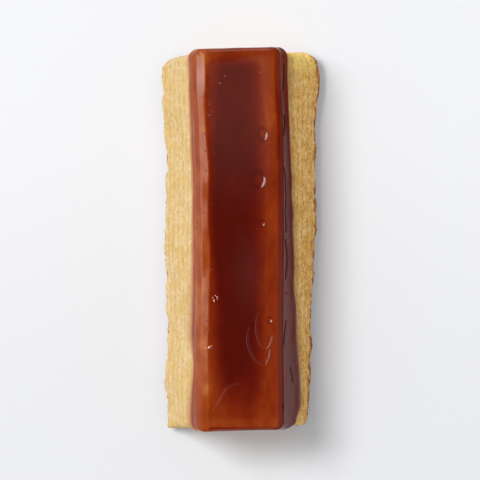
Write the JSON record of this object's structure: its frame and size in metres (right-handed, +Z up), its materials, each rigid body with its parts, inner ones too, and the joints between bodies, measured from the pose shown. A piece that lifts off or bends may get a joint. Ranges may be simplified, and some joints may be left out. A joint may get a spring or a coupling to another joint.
{
  "type": "baumkuchen bar",
  "caption": "Bar cut lengthwise from a ring-shaped layer cake, standing on its browned crust, its narrow top dipped in glossy dark caramel that runs down the sides",
  "frame": {"origin": "centre of the length and width, on the surface that the bar stands on", "axes": "X across the bar, Y along its length, Z up from the crust to the caramel"},
  "size_m": [0.0374, 0.0906, 0.0251],
  "materials": {
    "crumb": "matt pale yellow sponge with fine brown layer lines and a browned outer crust",
    "caramel": "glossy dark red-brown caramel, thinner and more orange along its ridges"
  },
  "bodies": {
    "root": {"cake": "crumb", "caramel_glaze": "caramel"}
  },
  "joints": []
}
